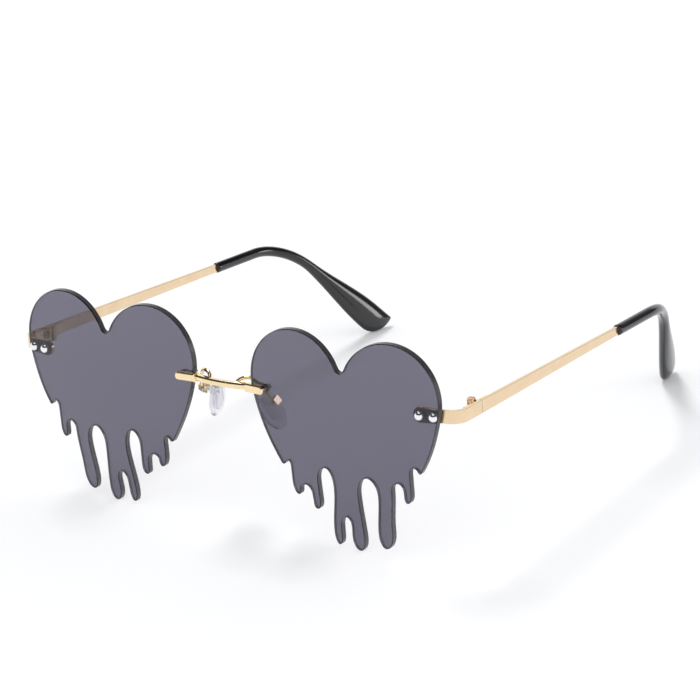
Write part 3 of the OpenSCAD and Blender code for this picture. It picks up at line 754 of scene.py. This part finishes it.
def any_ray(nodes, links, *kinds):
    """1 for a ray of one of the kinds, such as Is Camera Ray, and 0 for any other ray."""
    path = nodes.new("ShaderNodeLightPath")
    found = path.outputs[kinds[0]]
    for kind in kinds[1:]:
        either = nodes.new("ShaderNodeMath")
        either.operation = "MAXIMUM"
        links.new(found, either.inputs[0])
        links.new(path.outputs[kind], either.inputs[1])
        found = either.outputs[0]
    return found


def studio_floor():
    """A white floor that shows as white to the camera and keeps a soft shadow."""
    around = ((-1, -1), (1, -1), (1, 1), (-1, 1))
    corners = [(x * FLOOR_HALF, y * FLOOR_HALF, -FLOOR_DROP) for x, y in around]
    mesh = bpy.data.meshes.new("floor")
    mesh.from_pydata(corners, [], [(0, 1, 2, 3)])
    floor = bpy.data.objects.new("floor", mesh)
    bpy.context.scene.collection.objects.link(floor)
    material = bpy.data.materials.new("floor_white")
    material.use_nodes = True
    nodes = material.node_tree.nodes
    links = material.node_tree.links
    nodes.clear()
    glow = nodes.new("ShaderNodeEmission")
    level = nodes.new("ShaderNodeMath")
    level.operation = "MULTIPLY"
    level.inputs[1].default_value = FLOOR_GLOW
    paint = nodes.new("ShaderNodeBsdfDiffuse")
    paint.inputs["Color"].default_value = (*FLOOR_COLOUR, 1)
    both = nodes.new("ShaderNodeAddShader")
    out = nodes.new("ShaderNodeOutputMaterial")
    seen = any_ray(nodes, links, "Is Camera Ray", "Is Glossy Ray", "Is Transmission Ray")
    links.new(seen, level.inputs[0])
    links.new(level.outputs[0], glow.inputs["Strength"])
    links.new(paint.outputs[0], both.inputs[0])
    links.new(glow.outputs[0], both.inputs[1])
    links.new(both.outputs[0], out.inputs["Surface"])
    mesh.materials.append(material)


def studio_world():
    """White to the camera and through the lenses, and soft plain light for the object.

    What metal and gloss mirror is bands of white and dark instead, with a dark flag."""
    world = bpy.data.worlds.new("studio")
    bpy.context.scene.world = world
    world.use_nodes = True
    nodes = world.node_tree.nodes
    links = world.node_tree.links
    nodes.clear()
    place = nodes.new("ShaderNodeTexCoord")
    split = nodes.new("ShaderNodeSeparateXYZ")
    links.new(place.outputs["Generated"], split.inputs["Vector"])
    band = ramp(nodes, links, split.outputs["Z"], MIRRORED_BY_HEIGHT)
    toward = nodes.new("ShaderNodeVectorMath")
    toward.operation = "DOT_PRODUCT"
    toward.inputs[1].default_value = FLAG_WAY.normalized()
    links.new(place.outputs["Generated"], toward.inputs[0])
    flag = ramp(nodes, links, toward.outputs["Value"], FLAG_EDGE)
    both = nodes.new("ShaderNodeMix")
    both.data_type = "RGBA"
    both.blend_type = "MULTIPLY"
    both.inputs["Factor"].default_value = 1
    links.new(band.outputs["Color"], both.inputs["A"])
    links.new(flag.outputs["Color"], both.inputs["B"])
    reflected = nodes.new("ShaderNodeBackground")
    links.new(both.outputs["Result"], reflected.inputs["Color"])
    plain = nodes.new("ShaderNodeBackground")
    plain.inputs["Color"].default_value = (1, 1, 1, 1)
    room = nodes.new("ShaderNodeBackground")
    room.inputs["Color"].default_value = (*ROOM_COLOUR, 1)
    room.inputs["Strength"].default_value = ROOM_LEVEL
    first = nodes.new("ShaderNodeMixShader")
    second = nodes.new("ShaderNodeMixShader")
    links.new(any_ray(nodes, links, "Is Camera Ray", "Is Transmission Ray"), first.inputs["Fac"])
    links.new(room.outputs[0], first.inputs[1])
    links.new(plain.outputs[0], first.inputs[2])
    links.new(any_ray(nodes, links, "Is Glossy Ray"), second.inputs["Fac"])
    links.new(first.outputs[0], second.inputs[1])
    links.new(reflected.outputs[0], second.inputs[2])
    out = nodes.new("ShaderNodeOutputWorld")
    links.new(second.outputs[0], out.inputs["Surface"])


def far_lamp(name, way, spread_angle, power):
    """A soft far lamp that shines from a direction, as wide as an angle in degrees."""
    lamp = bpy.data.lights.new(name, "SUN")
    lamp.angle = math.radians(spread_angle)
    lamp.energy = power
    holder = bpy.data.objects.new(name, lamp)
    holder.rotation_euler = Vector(way).to_track_quat("Z", "Y").to_euler()
    bpy.context.scene.collection.objects.link(holder)


def photo_camera():
    """The camera at the photograph's viewing angle and distance."""
    azimuth = math.radians(CAMERA_AZIMUTH)
    elevation = math.radians(CAMERA_ELEVATION)
    roll = math.radians(CAMERA_ROLL)
    back = Vector((math.sin(azimuth) * math.cos(elevation), -math.cos(azimuth) * math.cos(elevation),
                   math.sin(elevation)))
    right = (-back).cross(Vector((0, 0, 1))).normalized()
    up = right.cross(-back)
    rolled_right = right * math.cos(roll) + up * math.sin(roll)
    rolled_up = up * math.cos(roll) - right * math.sin(roll)
    data = bpy.data.cameras.new("photo_camera")
    data.sensor_width = CAMERA_SENSOR
    data.lens = CAMERA_LENS
    data.clip_start = 0.01
    data.clip_end = 20
    camera = bpy.data.objects.new("photo_camera", data)
    turn = Matrix((rolled_right, rolled_up, back)).transposed().to_4x4()
    camera.matrix_world = Matrix.Translation(CAMERA_PLACE * MM) @ turn
    bpy.context.scene.collection.objects.link(camera)
    bpy.context.scene.camera = camera


studio_floor()
studio_world()
far_lamp("key", way=(-0.46, 0.34, 0.82), spread_angle=18, power=1.5)
far_lamp("rim", way=(0.79, 0.60, 0.12), spread_angle=15, power=0.32)
photo_camera()
bpy.context.scene.view_settings.view_transform = "Standard"
